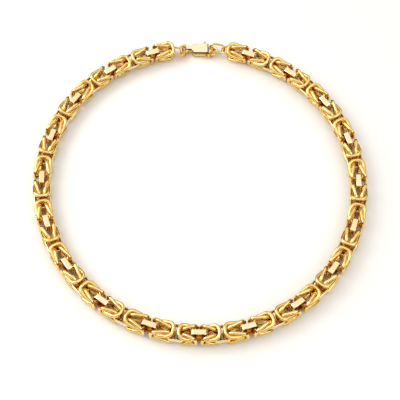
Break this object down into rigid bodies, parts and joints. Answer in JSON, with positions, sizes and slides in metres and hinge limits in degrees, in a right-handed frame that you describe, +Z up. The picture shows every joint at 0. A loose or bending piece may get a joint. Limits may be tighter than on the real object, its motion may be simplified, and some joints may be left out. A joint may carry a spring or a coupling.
{
  "type": "neck chain",
  "caption": "Heavy neck chain of knotted round rings and flat links, lying closed in a loop, with a hook clasp that has a sprung lever.",
  "frame": {"origin": "under the middle of the whole box, on the surface that the chain lies on", "axes": "+Z up; +Y from the front of the loop to the clasp; +X to the right as seen from the front"},
  "size_m": [0.1646, 0.1738, 0.01],
  "materials": {
    "polished_gold": "polished yellow gold",
    "flat_gold": "polished yellow gold, flat faces",
    "clasp_gold": "polished yellow gold"
  },
  "bodies": {
    "chain": {"right_knot_rings": "polished_gold", "left_knot_rings": "polished_gold", "flat_links": "flat_gold", "clasp_body": "clasp_gold", "lever_pin": "clasp_gold", "left_round_ring": "polished_gold", "right_round_ring": "polished_gold", "left_end_ring": "polished_gold", "right_end_ring": "polished_gold", "right_jump_ring": "polished_gold"},
    "lever": {"clasp_lever": "clasp_gold"}
  },
  "joints": [
    {"name": "lever_pivot", "type": "hinge", "parent": "chain", "child": "lever", "pos_m": [0.00021, 0.08404, 0.0023], "axis": [0, 0, 1], "range_deg": [-14, 0], "stiffness_Nm_per_rad": 0.002}
  ]
}
